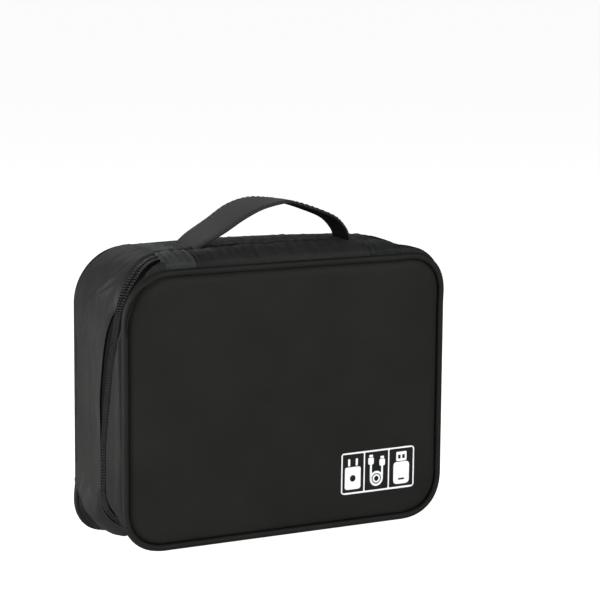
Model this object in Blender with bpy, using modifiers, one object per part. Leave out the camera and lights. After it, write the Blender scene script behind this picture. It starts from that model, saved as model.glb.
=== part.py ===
"""Cable organizer pouch: a zipped semi-rigid case with a lid, a padded base, dividers and a carry strap.

The case stands closed on its long lower side, with the strap and the hinge on top.
X runs along the width, Y from the lid (front) to the back panel, Z up. Units are metres.
"""

import math

import bpy
from mathutils import Matrix, Vector

# Driving dimensions of the case
WIDTH = 0.245
HEIGHT = 0.192
DEPTH = 0.075
CORNER_RADIUS = 0.036
ZIP_Y = -0.018
FRONT_Y = -DEPTH / 2
BACK_Y = DEPTH / 2
GAP = 0.0003

# Layers, from the outside in
FABRIC = 0.0012
PIPING_RADIUS = 0.0022
LID_FOAM = 0.0027
BASE_FOAM = 0.0035
LINING = 0.0008
TAPE = 0.0006
TAPE_INSET = 0.0016
COIL_RADIUS = 0.00065

# Spine, which is the hinge side on top
SPINE_HALF_MIDDLE = 0.066
SPINE_HALF_LENGTH = 0.090

# Lid interior
COLUMNS = 5
COLUMN_WIDTH = 0.0432
WEB = 0.0007
LOOP_RISE = 0.0065
SEWN_MARGIN = 0.0018
BAND_BOTTOM = 0.047
BAND_TOP = 0.069
HEM_BOTTOM = 0.116
HEM_TOP = 0.125
POCKET_TOP = 0.173

# Padded dividers in the base
DIVIDER = 0.005
DIVIDER_FRONT_Y = -0.012
LEFT_DIVIDER_X = -0.053
RIGHT_DIVIDER_X = 0.030
CROSS_DIVIDER_Z = 0.106
HOOK_TAB = 0.022
HOOK_TAB_THICKNESS = 0.0012

# Carry strap
STRAP_WIDTH = 0.022
STRAP_Y = 0.0
STRAP_X = 0.002
STRAP_HALF_SPAN = 0.061
STRAP_FOOT_Z = HEIGHT + 0.0075
STRAP_TOP_Z = 0.2245
STRAP_OUTER = 0.0016
STRAP_INNER = 0.0012

# Zip sliders, each on the lid's side of the track at its upper right corner
SLIDER_Y = ZIP_Y - 0.0036
SLIDER_LENGTH = 0.009
SLIDER_WIDTH = 0.0044
SLIDER_HEIGHT = 0.0023
BRIDGE_RADIUS = 0.00075
BRIDGE_ARCH = 0.0026
PULL_LENGTH = 0.016
PULL_HALF_WIDTH = 0.0022
PULL_THICKNESS = 0.0014
SLIDER_A_TURN = math.radians(62)
SLIDER_B_TURN = math.radians(84)
PULL_DROOP = math.radians(8.5)

# Printed label on the lid
LABEL_CENTRE = (0.0698, 0.0422)
LABEL_SIZE = (0.0585, 0.0283)
LABEL_FILM = 0.0003

COLOURS = {
    "coated_fabric": (0.020, 0.020, 0.018),
    "nylon": (0.045, 0.047, 0.048),
    "black_trim": (0.012, 0.012, 0.012),
    "foam": (0.10, 0.10, 0.10),
    "lining": (0.42, 0.42, 0.40),
    "elastic": (0.30, 0.31, 0.31),
    "mesh": (0.50, 0.51, 0.51),
    "binding": (0.75, 0.75, 0.73),
    "webbing": (0.035, 0.036, 0.037),
    "metal": (0.10, 0.10, 0.10),
    "print": (0.80, 0.80, 0.80),
}


def clear_scene():
    for obj in list(bpy.data.objects):
        bpy.data.objects.remove(obj, do_unlink=True)


def make_material(name):
    colour = COLOURS[name]
    material = bpy.data.materials.new(name)
    material.use_nodes = True
    shader = material.node_tree.nodes["Principled BSDF"]
    shader.inputs["Base Color"].default_value = (*colour, 1.0)
    shader.inputs["Roughness"].default_value = 0.35 if name == "metal" else 0.8
    shader.inputs["Metallic"].default_value = 1.0 if name == "metal" else 0.0
    return material


def rounded_outline(inset=0.0, steps=6):
    """The case's rounded rectangle as (x, z) points, anticlockwise from the right side's top."""
    radius = CORNER_RADIUS - inset
    half = WIDTH / 2 - CORNER_RADIUS
    low = CORNER_RADIUS
    high = HEIGHT - CORNER_RADIUS
    centres = [(half, high, 0), (-half, high, 90), (-half, low, 180), (half, low, 270)]
    points = []
    for x, z, start in centres:
        for step in range(steps + 1):
            angle = math.radians(start + 90 * step / steps)
            points.append((x + radius * math.cos(angle), z + radius * math.sin(angle)))
    return points


def track_points(inset, half_opening):
    """The outline without its top: from the right end of the zip round below to the left end."""
    points = rounded_outline(inset)
    corner = len(points) // 4
    top = HEIGHT - inset
    right = points[:corner][::-1]
    right_side = [(half_opening, top)] + [p for p in right if p[0] > half_opening]
    left = [p for p in points[corner:2 * corner][::-1] if p[0] < -half_opening]
    below = points[2 * corner:][::-1]
    return right_side + below + left + [(-half_opening, top)]


def add_object(name, data, material, parent=None):
    obj = bpy.data.objects.new(name, data)
    pouch.objects.link(obj)
    obj.data.materials.append(materials[material])
    if parent is not None:
        obj.parent = parent
        obj.matrix_parent_inverse = parent_frames[parent.name].inverted()
    return obj


def add_pivot(name, location, turn=0.0, parent=None):
    """An empty on a joint's axis; its own children are placed in world space."""
    pivot = bpy.data.objects.new(name, None)
    pouch.objects.link(pivot)
    frame = Matrix.Translation(Vector(location)) @ Matrix.Rotation(turn, 4, "Y")
    if parent is not None:
        pivot.parent = parent
        pivot.matrix_parent_inverse = parent_frames[parent.name].inverted()
    pivot.matrix_basis = frame
    parent_frames[name] = frame
    return pivot


def flat_curve(name, loops, half_thickness, material, parent=None):
    """A filled 2D outline in its own XY plane, as thick as twice half_thickness along its Z."""
    curve = bpy.data.curves.new(name, "CURVE")
    curve.dimensions = "2D"
    curve.fill_mode = "BOTH"
    curve.extrude = half_thickness
    for loop in loops:
        spline = curve.splines.new("POLY")
        spline.points.add(len(loop) - 1)
        for point, (u, v) in zip(spline.points, loop):
            point.co = (u, v, 0.0, 1.0)
        spline.use_cyclic_u = True
    return add_object(name, curve, material, parent)


def slab(name, loops, front, back, material, parent=None):
    """Outlines in the XZ plane, solid from y = front to y = back."""
    obj = flat_curve(name, loops, (back - front) / 2, material, parent)
    obj.rotation_euler = (math.pi / 2, 0.0, 0.0)
    obj.location = (0.0, (front + back) / 2, 0.0)
    return obj


def plate(name, inset, front, back, material, parent=None):
    return slab(name, [rounded_outline(inset)], front, back, material, parent)


def ring(name, inset, wall, front, back, material, parent=None):
    loops = [rounded_outline(inset), rounded_outline(inset + wall)]
    return slab(name, loops, front, back, material, parent)


def open_band(name, inset, wall, front, back, material, parent=None):
    """A band round three sides of the case that leaves the spine free."""
    outer = track_points(inset, SPINE_HALF_LENGTH)
    inner = track_points(inset + wall, SPINE_HALF_LENGTH)
    return slab(name, [outer + inner[::-1]], front, back, material, parent)


def tube(name, points, radius, closed, material, parent=None):
    curve = bpy.data.curves.new(name, "CURVE")
    curve.dimensions = "3D"
    curve.bevel_depth = radius
    curve.bevel_resolution = 2
    curve.use_fill_caps = not closed
    spline = curve.splines.new("POLY")
    spline.points.add(len(points) - 1)
    for point, place in zip(spline.points, points):
        point.co = (*place, 1.0)
    spline.use_cyclic_u = closed
    return add_object(name, curve, material, parent)


def box(name, low, high, material, parent=None, bevel=0.0):
    bpy.ops.mesh.primitive_cube_add(size=1.0)
    obj = bpy.context.object
    mesh = obj.data
    bpy.data.objects.remove(obj, do_unlink=True)
    size = [high[i] - low[i] for i in range(3)]
    middle = [(high[i] + low[i]) / 2 for i in range(3)]
    mesh.transform(Matrix.Translation(Vector(middle)) @ Matrix.Diagonal((*size, 1.0)))
    mesh.name = name
    mesh.materials.clear()
    made = add_object(name, mesh, material, parent)
    if bevel > 0.0:
        modifier = made.modifiers.new("Bevel", "BEVEL")
        modifier.width = bevel
        modifier.segments = 2
    return made


def scalloped_strip(name, bottom, top, parent):
    """A web sewn down between the columns, which bows away from the lining in each one."""
    start = -COLUMNS * COLUMN_WIDTH / 2
    sewn_y = FRONT_Y + FABRIC + LID_FOAM + LINING + 3 * GAP
    bow = COLUMN_WIDTH - 2 * SEWN_MARGIN
    steps = 8
    outline = [(start, sewn_y)]
    for column in range(COLUMNS):
        left = start + column * COLUMN_WIDTH + SEWN_MARGIN
        for step in range(steps + 1):
            share = step / steps
            rise = LOOP_RISE * max(0.0, math.sin(math.pi * share)) ** 0.6
            outline.append((left + share * bow, sewn_y + rise))
    outline.append((-start, sewn_y))
    inner = [(x, y + WEB) for x, y in reversed(outline)]
    obj = flat_curve(name, [outline + inner], (top - bottom) / 2, "elastic", parent)
    obj.location = (0.0, 0.0, (top + bottom) / 2)
    return obj


def make_lid(pivot):
    lining_front = FRONT_Y + FABRIC + LID_FOAM + 2 * GAP
    lining_back = lining_front + LINING
    piping_back = FRONT_Y + 2 * PIPING_RADIUS
    piping_inset = PIPING_RADIUS + GAP
    panel_inset = piping_inset + PIPING_RADIUS + GAP
    side_lining_inset = TAPE_INSET + TAPE + 2 * GAP

    plate("lid_front_panel", panel_inset, FRONT_Y, FRONT_Y + FABRIC, "coated_fabric", pivot)
    foam_front = FRONT_Y + FABRIC + GAP
    plate("lid_foam", panel_inset + 0.0005, foam_front, foam_front + LID_FOAM, "foam", pivot)
    path = [(x, FRONT_Y + PIPING_RADIUS, z) for x, z in rounded_outline(piping_inset, 8)]
    tube("lid_piping", path, PIPING_RADIUS, True, "coated_fabric", pivot)
    side_front = piping_back + GAP
    open_band("lid_gusset", 0.0, FABRIC, side_front, ZIP_Y - 0.0024, "nylon", pivot)
    box(
        "spine_front",
        (-SPINE_HALF_LENGTH + GAP, side_front, HEIGHT - FABRIC),
        (SPINE_HALF_LENGTH - GAP, ZIP_Y - GAP, HEIGHT),
        "nylon",
        pivot,
    )
    open_band("lid_zip_tape", TAPE_INSET, TAPE, ZIP_Y - 0.008, ZIP_Y - GAP, "black_trim", pivot)
    coil = [(x, ZIP_Y - COIL_RADIUS - GAP, z) for x, z in track_points(COIL_RADIUS, SPINE_HALF_LENGTH + GAP)]
    tube("lid_zip_coil", coil, COIL_RADIUS, False, "black_trim", pivot)

    plate("lid_lining", side_lining_inset + 0.0005, lining_front, lining_back, "lining", pivot)
    side = lining_back + GAP
    ring("lid_side_lining", side_lining_inset, LINING, side, ZIP_Y - 0.001, "lining", pivot)
    edge = [(x, lining_back + 0.0013, z) for x, z in rounded_outline(0.0052)]
    tube("lid_binding", edge, 0.001, True, "binding", pivot)

    scalloped_strip("cable_band", BAND_BOTTOM, BAND_TOP, pivot)
    scalloped_strip("pocket_hem", HEM_BOTTOM, HEM_TOP, pivot)
    scalloped_strip("mesh_pockets", HEM_TOP + GAP, POCKET_TOP, pivot)
    tape_front = lining_back + GAP + WEB + GAP
    for number in range(1, COLUMNS):
        x = (number - COLUMNS / 2) * COLUMN_WIDTH
        box(
            f"column_tape_{number}",
            (x - 0.001, tape_front + 0.0001, HEM_BOTTOM),
            (x + 0.001, tape_front + 0.0001 + LINING, POCKET_TOP),
            "binding",
            pivot,
        )

    label = []
    for x_side, z_side in ((-1, -1), (1, -1), (1, 1), (-1, 1)):
        x = LABEL_CENTRE[0] + x_side * LABEL_SIZE[0] / 2
        z = LABEL_CENTRE[1] + z_side * LABEL_SIZE[1] / 2
        label.append((x, z))
    film_back = FRONT_Y - GAP
    slab("front_label", [label], film_back - LABEL_FILM, film_back, "print", pivot)


def make_base():
    piping_inset = PIPING_RADIUS + GAP
    panel_inset = piping_inset + PIPING_RADIUS + GAP
    plate("base_back_panel", panel_inset, BACK_Y - FABRIC, BACK_Y, "coated_fabric")
    foam_back = BACK_Y - FABRIC - GAP
    foam_front = foam_back - BASE_FOAM
    plate("base_back_foam", panel_inset + 0.0005, foam_front, foam_back, "foam")
    path = [(x, BACK_Y - PIPING_RADIUS, z) for x, z in rounded_outline(piping_inset, 8)]
    tube("base_piping", path, PIPING_RADIUS, True, "coated_fabric")
    wall_back = BACK_Y - 2 * PIPING_RADIUS - GAP
    open_band("base_wall", 0.0, FABRIC, ZIP_Y + 0.0024, wall_back, "nylon")
    ends = {
        "spine_middle": (-SPINE_HALF_MIDDLE, SPINE_HALF_MIDDLE),
        "spine_end_left": (-SPINE_HALF_LENGTH + GAP, -SPINE_HALF_MIDDLE - GAP),
        "spine_end_right": (SPINE_HALF_MIDDLE + GAP, SPINE_HALF_LENGTH - GAP),
    }
    for name, (low_x, high_x) in ends.items():
        low = (low_x, ZIP_Y + GAP, HEIGHT - FABRIC)
        box(name, low, (high_x, wall_back, HEIGHT), "nylon")
    open_band("base_zip_tape", TAPE_INSET, TAPE, ZIP_Y + GAP, ZIP_Y + 0.008, "black_trim")
    coil = [(x, ZIP_Y + COIL_RADIUS + GAP, z) for x, z in track_points(COIL_RADIUS, SPINE_HALF_LENGTH + GAP)]
    tube("base_zip_coil", coil, COIL_RADIUS, False, "black_trim")
    hinge_low = (-SPINE_HALF_LENGTH + 0.003, ZIP_Y + GAP, HEIGHT - FABRIC - GAP - LINING)
    hinge_high = (SPINE_HALF_LENGTH - 0.003, ZIP_Y + 0.012, HEIGHT - FABRIC - GAP)
    box("hinge_lining", hinge_low, hinge_high, "lining")

    foam_inset = TAPE_INSET + TAPE + 3 * GAP
    lining_inset = foam_inset + BASE_FOAM + GAP
    ring_back = foam_front - GAP
    ring("base_wall_foam", foam_inset, BASE_FOAM, ZIP_Y + 0.004, ring_back, "foam")
    floor_front = ring_back - LINING
    plate("base_floor_lining", lining_inset + 0.0001, floor_front, ring_back, "lining")
    lining_front = ZIP_Y + 0.0035
    ring("base_wall_lining", lining_inset, LINING, lining_front, floor_front - GAP, "lining")
    return lining_inset + LINING + GAP, floor_front - GAP


def make_dividers(side_inset, floor_y):
    low_z = side_inset
    high_z = HEIGHT - side_inset
    tab_gap = HOOK_TAB_THICKNESS + GAP
    for side, x in (("left", LEFT_DIVIDER_X), ("right", RIGHT_DIVIDER_X)):
        pivot = add_pivot(f"divider_{side}_slide", (x, DIVIDER_FRONT_Y, HEIGHT / 2))
        low = (x - DIVIDER / 2, DIVIDER_FRONT_Y, low_z + tab_gap)
        high = (x + DIVIDER / 2, floor_y, high_z - tab_gap)
        box(f"divider_{side}", low, high, "lining", pivot, bevel=0.001)
        for end, z in (("bottom", low_z), ("top", high_z - HOOK_TAB_THICKNESS)):
            tab_low = (x - DIVIDER / 2, DIVIDER_FRONT_Y + 0.003, z)
            tab_high = (x + HOOK_TAB, floor_y - 0.003, z + HOOK_TAB_THICKNESS)
            box(f"divider_{side}_tab_{end}", tab_low, tab_high, "black_trim", pivot)

    left = LEFT_DIVIDER_X + DIVIDER / 2 + GAP
    right = RIGHT_DIVIDER_X - DIVIDER / 2 - GAP
    pivot = add_pivot("divider_cross_slide", (left, DIVIDER_FRONT_Y, CROSS_DIVIDER_Z))
    low = (left + tab_gap, DIVIDER_FRONT_Y, CROSS_DIVIDER_Z - DIVIDER / 2)
    high = (right - tab_gap, floor_y, CROSS_DIVIDER_Z + DIVIDER / 2)
    box("divider_cross", low, high, "lining", pivot, bevel=0.001)
    for end, x in (("left", left), ("right", right - HOOK_TAB_THICKNESS)):
        tab_low = (x, DIVIDER_FRONT_Y + 0.003, CROSS_DIVIDER_Z - DIVIDER / 2)
        tab_high = (x + HOOK_TAB_THICKNESS, floor_y - 0.003, CROSS_DIVIDER_Z + HOOK_TAB)
        box(f"divider_cross_tab_{end}", tab_low, tab_high, "black_trim", pivot)


def arch(offset, steps=22):
    """Half an ellipse over the spine, offset inwards from the strap's outer face."""
    rise = STRAP_TOP_Z - STRAP_FOOT_Z - offset
    span = STRAP_HALF_SPAN - offset
    points = []
    for step in range(steps + 1):
        angle = math.pi * step / steps
        points.append((STRAP_X + span * math.cos(angle), STRAP_FOOT_Z + rise * math.sin(angle)))
    return points


def make_strap():
    pivot = add_pivot("strap_pivot", (STRAP_X, STRAP_Y, HEIGHT))
    front = STRAP_Y - STRAP_WIDTH / 2
    back = STRAP_Y + STRAP_WIDTH / 2
    outer = arch(0.0) + arch(STRAP_OUTER)[::-1]
    slab("carry_strap", [outer], front, back, "webbing", pivot)
    inner_offset = STRAP_OUTER + GAP
    inner = arch(inner_offset) + arch(inner_offset + STRAP_INNER)[::-1]
    slab("strap_backing", [inner], front + 0.001, back - 0.001, "webbing", pivot)


def make_slider(letter, turn, pull_side, lid_pivot):
    """A slider on the corner's arc, and its pull, which points along the track to pull_side."""
    centre = Vector((WIDTH / 2 - CORNER_RADIUS, SLIDER_Y, HEIGHT - CORNER_RADIUS))
    pivot = add_pivot(f"slider_{letter}_arc", centre, turn, lid_pivot)
    frame = parent_frames[pivot.name]
    base_n = CORNER_RADIUS + GAP
    top_n = base_n + SLIDER_HEIGHT
    half = SLIDER_LENGTH / 2
    low = (-half, -SLIDER_WIDTH / 2, base_n)
    body = box(f"slider_{letter}", low, (half, SLIDER_WIDTH / 2, top_n), "metal", pivot, 0.0008)
    body.matrix_basis = frame

    hinge_n = top_n + 0.0015
    start = top_n + GAP
    arch_points = [(-BRIDGE_ARCH, 0.0, start)]
    for step in range(9):
        angle = math.pi * (1 - step / 8)
        reach = BRIDGE_ARCH * math.cos(angle)
        arch_points.append((reach, 0.0, hinge_n + BRIDGE_ARCH * math.sin(angle)))
    arch_points.append((BRIDGE_ARCH, 0.0, start))
    bridge = tube(f"slider_{letter}_bridge", arch_points, BRIDGE_RADIUS, False, "metal", pivot)
    bridge.matrix_basis = frame

    pull_frame = frame @ Matrix.Translation((0.0, 0.0, hinge_n))
    hinge_place = pull_frame.to_translation()
    pull_pivot = add_pivot(f"pull_{letter}_pivot", hinge_place, turn, pivot)
    end = PULL_LENGTH * pull_side
    back = -0.0006 * pull_side
    wide = PULL_HALF_WIDTH
    slim = 0.7 * PULL_HALF_WIDTH
    outline = [(back, -wide), (end * 0.3, -wide), (end * 0.5, -slim), (end * 0.95, -slim)]
    outline += [(end, -slim * 0.6), (end, slim * 0.6)]
    outline += [(end * 0.95, slim), (end * 0.5, slim), (end * 0.3, wide), (back, wide)]
    eye_near = 0.0007 * pull_side
    eye_far = 0.0046 * pull_side
    eye_half = BRIDGE_RADIUS + 0.0006
    eye = [(eye_near, -eye_half), (eye_far, -eye_half), (eye_far, eye_half), (eye_near, eye_half)]
    pull = flat_curve(f"pull_{letter}", [outline, eye], PULL_THICKNESS / 2, "metal", pull_pivot)
    pull.matrix_basis = pull_frame @ Matrix.Rotation(PULL_DROOP * pull_side, 4, "Y")


clear_scene()
pouch = bpy.data.collections.new("cable_organizer_pouch")
bpy.context.scene.collection.children.link(pouch)
materials = {name: make_material(name) for name in COLOURS}
parent_frames = {}

hinge = add_pivot("lid_hinge", (0.0, ZIP_Y, HEIGHT))
make_lid(hinge)
inner_inset, base_floor = make_base()
make_dividers(inner_inset, base_floor)
make_strap()
make_slider("a", SLIDER_A_TURN, -1, hinge)
make_slider("b", SLIDER_B_TURN, 1, hinge)
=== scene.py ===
import math
import bpy
import bmesh
from mathutils import Matrix, Vector, noise


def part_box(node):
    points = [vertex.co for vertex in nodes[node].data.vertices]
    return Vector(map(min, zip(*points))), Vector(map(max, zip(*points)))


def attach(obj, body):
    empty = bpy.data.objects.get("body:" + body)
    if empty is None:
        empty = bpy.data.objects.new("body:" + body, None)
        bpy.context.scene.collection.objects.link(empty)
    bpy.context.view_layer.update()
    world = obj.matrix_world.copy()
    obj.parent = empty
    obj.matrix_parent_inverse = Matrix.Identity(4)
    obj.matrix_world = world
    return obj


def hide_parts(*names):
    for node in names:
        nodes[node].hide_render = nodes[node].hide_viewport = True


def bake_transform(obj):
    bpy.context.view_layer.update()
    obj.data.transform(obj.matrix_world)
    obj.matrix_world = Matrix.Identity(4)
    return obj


# Cable organizer pouch: the sewn case, its zip, strap, lining and dividers, in metres
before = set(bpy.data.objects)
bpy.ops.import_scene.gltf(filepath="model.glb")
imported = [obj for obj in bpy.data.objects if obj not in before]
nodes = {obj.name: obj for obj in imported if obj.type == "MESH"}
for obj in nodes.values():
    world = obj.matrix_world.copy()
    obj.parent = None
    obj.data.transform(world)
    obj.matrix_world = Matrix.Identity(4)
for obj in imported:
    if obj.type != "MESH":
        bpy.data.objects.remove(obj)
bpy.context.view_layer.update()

# the case's outline, and how the soft case departs from it
pipingLow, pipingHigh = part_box("lid_piping")
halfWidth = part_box("lid_gusset")[1].x
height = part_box("base_wall")[1].z
frontY = pipingLow.y
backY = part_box("base_back_panel")[1].y
seamInset = 0.0036          # the seams lie this far inside the case's front and back
frontSeam = frontY + seamInset
backSeam = backY - seamInset
seamFall = 0.0030           # how deep and how wide the cloth turns down into a seam
sameSpot = 0.000002         # vertices nearer than this are one

caseShape = {
    "cornerRadius": 0.036,
    # how far the underside clears the ground, from the front seam to the back
    "bottomLine": [(-0.0375, 0.0050), (-0.028, 0.0056), (-0.018, 0.0064), (-0.006, 0.0068),
                   (0.006, 0.0066), (0.020, 0.0060), (0.0375, 0.0058)],
    "rearTuck": 0.001,
    # how far the top stands above the frame, from the front seam to the back
    "topLine": [(-0.0375, -0.005), (-0.033, -0.0025), (-0.027, 0.002), (-0.020, 0.0040),
                (-0.012, 0.0042), (0.010, 0.0045), (0.025, 0.0040), (0.0375, 0.003)],
    "crownRise": 0.0022,
    "crownHalf": 0.095,
    "crownMiddle": -0.018,
    "crownStart": 0.02,     # the crown grows over this depth behind the front
    "settleFrom": 0.076,    # past here the top settles back onto the frame on the right
    "settleTo": 0.110,
    # how far a corner is filled out (or tucked in), by depth
    "topRight": [(-0.0375, 0.0050), (-0.030, 0.0036), (-0.018, 0.0003), (0.0375, 0.0)],
    "bottomRight": [(-0.0375, 0.0030), (-0.030, 0.0020), (-0.018, 0.0), (0.0375, 0.0)],
    "bottomLeft": [(-0.0375, 0.0036), (-0.031, 0.0024), (-0.024, -0.0014), (-0.016, -0.0052),
                   (-0.006, -0.0046), (0.006, -0.0010), (0.018, 0.0032), (0.030, 0.0064),
                   (0.0375, 0.0072)],
    "cornerSharpness": 1.6,
}

zipShape = {
    # depth of the zip's middle, by distance round the case from the middle of the top
    "line": [(0.0, -0.0195), (0.0895, -0.0212), (0.143, -0.0212), (0.26, -0.020), (0.32, -0.018),
             (0.406, -0.0150), (0.480, -0.0095), (0.510, -0.0036), (0.524, -0.0012),
             (0.5345, -0.0016), (0.5455, -0.0058), (0.562, -0.0069), (0.578, -0.0072),
             (0.598, -0.0105), (0.609, -0.0126), (0.6222, -0.0156), (0.637, -0.0190),
             (0.651, -0.0235), (0.665, -0.0275), (0.675, -0.0292), (0.684, -0.0296),
             (0.6915, -0.0288), (0.698, -0.0279), (0.705, -0.0260), (0.714, -0.0240),
             (0.7227, -0.0236), (0.8122, -0.0195)],
    # front edge of the base's wall beside it
    "wallEdge": [(0.0, -0.0150), (0.0895, -0.0168), (0.143, -0.0168), (0.26, -0.0155),
                 (0.32, -0.0135), (0.406, -0.0105), (0.480, -0.0048), (0.510, 0.0020),
                 (0.522, 0.0046), (0.534, 0.0034), (0.545, -0.0014), (0.561, -0.0024),
                 (0.577, -0.0022), (0.593, -0.0020), (0.6054, -0.0014), (0.6183, -0.0027),
                 (0.6312, -0.0048), (0.6444, -0.0078), (0.6546, -0.0116), (0.6631, -0.0170),
                 (0.6725, -0.0242), (0.6824, -0.0257), (0.700, -0.0240), (0.7227, -0.0198),
                 (0.8122, -0.0150)],
    # gap between the coil and the lid's side
    "lidGap": [(0.0895, 0.0006), (0.49, 0.0006), (0.515, 0.0022), (0.54, 0.0026), (0.56, 0.0008),
               (0.66, 0.0006), (0.685, 0.0026), (0.71, 0.0022), (0.7227, 0.0008)],
    "rowHalf": 0.0036,      # half the width of the closed coils
    "sunk": 0.0010,
    "pitch": 0.0019,        # drawn a little coarser than a real coil, so that its turns show
    "tooth": (0.00100, 0.0034, 0.0013),
    "rowOffset": 0.00178,   # from the middle to each coil's own middle
    "waist": (0.62, 0.72),  # a turn's width and height at its middle
    "tip": (0.80, 0.75),    # and at its ends
    "tapeReach": 0.0105, "tapeDepth": 0.0021, "tapeThickness": 0.0006, "tapeGap": 0.0003,
    "tapeUnder": 0.004,     # how far the base's tape runs in behind the wall
}

trackStart = 0.0895         # the zip's ends, measured from the middle of the top
radius = caseShape["cornerRadius"]
cornerLength = math.pi * radius / 2
topHalf = halfWidth - radius
sideLength = height - 2 * radius
perimeter = 4 * topHalf + 2 * sideLength + 4 * cornerLength
trackEnd = perimeter - trackStart

# each run: kind, length, its start or its arc's centre, and the way it faces at its start
outlineRuns = [
    ("line", topHalf, 0, height, 90), ("arc", cornerLength, topHalf, height - radius, 90),
    ("line", sideLength, halfWidth, height - radius, 0), ("arc", cornerLength, topHalf, radius, 0),
    ("line", 2 * topHalf, topHalf, 0, -90), ("arc", cornerLength, -topHalf, radius, -90),
    ("line", sideLength, -halfWidth, radius, -180),
    ("arc", cornerLength, -topHalf, height - radius, -180), ("line", topHalf, -topHalf, height, -270),
]


def ease(value):
    value = min(1.0, max(0.0, value))
    return value * value * (3 - 2 * value)


def follow(points, at):
    # a smooth line through a few (place, value) pairs
    if at <= points[0][0]:
        return points[0][1]
    if at >= points[-1][0]:
        return points[-1][1]
    index = max(i for i in range(len(points) - 1) if points[i][0] <= at)

    def slope(i):
        before, after = points[max(0, i - 1)], points[min(len(points) - 1, i + 1)]
        return (after[1] - before[1]) / (after[0] - before[0])

    (start, low), (end, high) = points[index], points[index + 1]
    step = end - start
    t = (at - start) / step
    return ((2 * t**3 - 3 * t**2 + 1) * low + (t**3 - 2 * t**2 + t) * step * slope(index)
            + (3 * t**2 - 2 * t**3) * high + (t**3 - t**2) * step * slope(index + 1))


def bump(value, width):
    return math.exp(-(value / width) ** 2)


def sinkAt(fromSeam, depth=seamFall, reach=seamFall):
    # how far cloth turns down towards a seam or a free edge
    return depth * (1 - ease(fromSeam / reach))


def outlinePoint(distance):
    # clockwise from the middle of the top: x, z and the outward direction
    left = distance % perimeter
    for kind, length, x, z, turn in outlineRuns:
        if left <= length:
            break
        left -= length
    angle = math.radians(turn)
    if kind == "arc":
        angle -= left / radius
        outX, outZ = math.cos(angle), math.sin(angle)
        return x + radius * outX, z + radius * outZ, outX, outZ
    outX, outZ = math.cos(angle), math.sin(angle)
    return x + left * outZ, z - left * outX, outX, outZ


def shapeCase(x, y, z):
    # lifts the lid's lower front, swells the top and tucks the rear in
    shape = caseShape
    lift = follow(shape["bottomLine"], y)
    rise = follow(shape["topLine"], y)
    away = (x - shape["crownMiddle"]) / shape["crownHalf"]
    rise += shape["crownRise"] * ease((y - frontY) / shape["crownStart"]) * max(0, 1 - away**2)
    if rise > 0:
        rise *= 1 - ease((x - shape["settleFrom"]) / (shape["settleTo"] - shape["settleFrom"]))
    share = z / height
    tuck = 1 - shape["rearTuck"] / halfWidth * ease(y / backY)
    return Vector((x * tuck, y, lift + share * (height + rise - lift)))


cornerStarts = {"topRight": topHalf, "bottomRight": topHalf + cornerLength + sideLength,
                "bottomLeft": 3 * topHalf + 2 * cornerLength + sideLength}


def cornerFill(distance, y):
    # soft corners are squarer at the front seam and tucked in where the cloth gives way
    for name, start in cornerStarts.items():
        share = (distance % perimeter - start) / cornerLength
        if 0 < share < 1:
            hump = math.sin(math.pi * share) ** caseShape["cornerSharpness"]
            return follow(caseShape[name], y) * hump
    return 0.0


def onShell(distance, y, out=0.0):
    x, z, outX, outZ = outlinePoint(distance)
    out += cornerFill(distance, y)
    return shapeCase(x + out * outX, y, z + out * outZ)


def outwardAt(distance):
    _, _, outX, outZ = outlinePoint(distance)
    return Vector((outX, 0, outZ))


def unevenness(place, size, amount, seed=0.0):
    # slow swelling and sinking of cloth, the same on every run
    return amount * noise.noise(Vector((place[0] / size + seed, place[1] / size, seed)))


# materials
wavePeriod = 0.314          # a wave texture repeats at this length at scale 1


def hexToLinear(code):
    values = [int(code[i:i + 2], 16) / 255 for i in (1, 3, 5)]
    linear = [v / 12.92 if v <= 0.04045 else ((v + 0.055) / 1.055) ** 2.4 for v in values]
    return (*linear, 1.0)


def addNode(material, kind, inputs=None, **settings):
    tree = material.node_tree
    node = tree.nodes.new(kind)
    for name, value in settings.items():
        setattr(node, name, value)
    for key, value in (inputs or {}).items():
        if isinstance(value, bpy.types.NodeSocket):
            tree.links.new(value, node.inputs[key])
        else:
            node.inputs[key].default_value = value
    return node


def startMaterial(name, roughness, specular, sheen=0.0, metallic=0.0):
    material = bpy.data.materials.new(name)
    material.use_nodes = True
    shader = material.node_tree.nodes["Principled BSDF"]
    shader.inputs["Roughness"].default_value = roughness
    shader.inputs["Specular IOR Level"].default_value = specular
    shader.inputs["Metallic"].default_value = metallic
    if sheen:
        shader.inputs["Sheen Weight"].default_value = sheen
        shader.inputs["Sheen Roughness"].default_value = 0.5
    return material, shader


def linkColour(material, shader, factor, dark, light):
    mix = addNode(material, "ShaderNodeMix", {0: factor, 6: hexToLinear(dark), 7: hexToLinear(light)},
                  data_type="RGBA", clamp_factor=False)
    material.node_tree.links.new(mix.outputs[2], shader.inputs["Base Color"])


def linkBump(material, shader, heightSocket, strength, distance):
    relief = addNode(material, "ShaderNodeBump", {"Strength": strength, "Distance": distance,
                                                 "Height": heightSocket})
    material.node_tree.links.new(relief.outputs[0], shader.inputs["Normal"])


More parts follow.
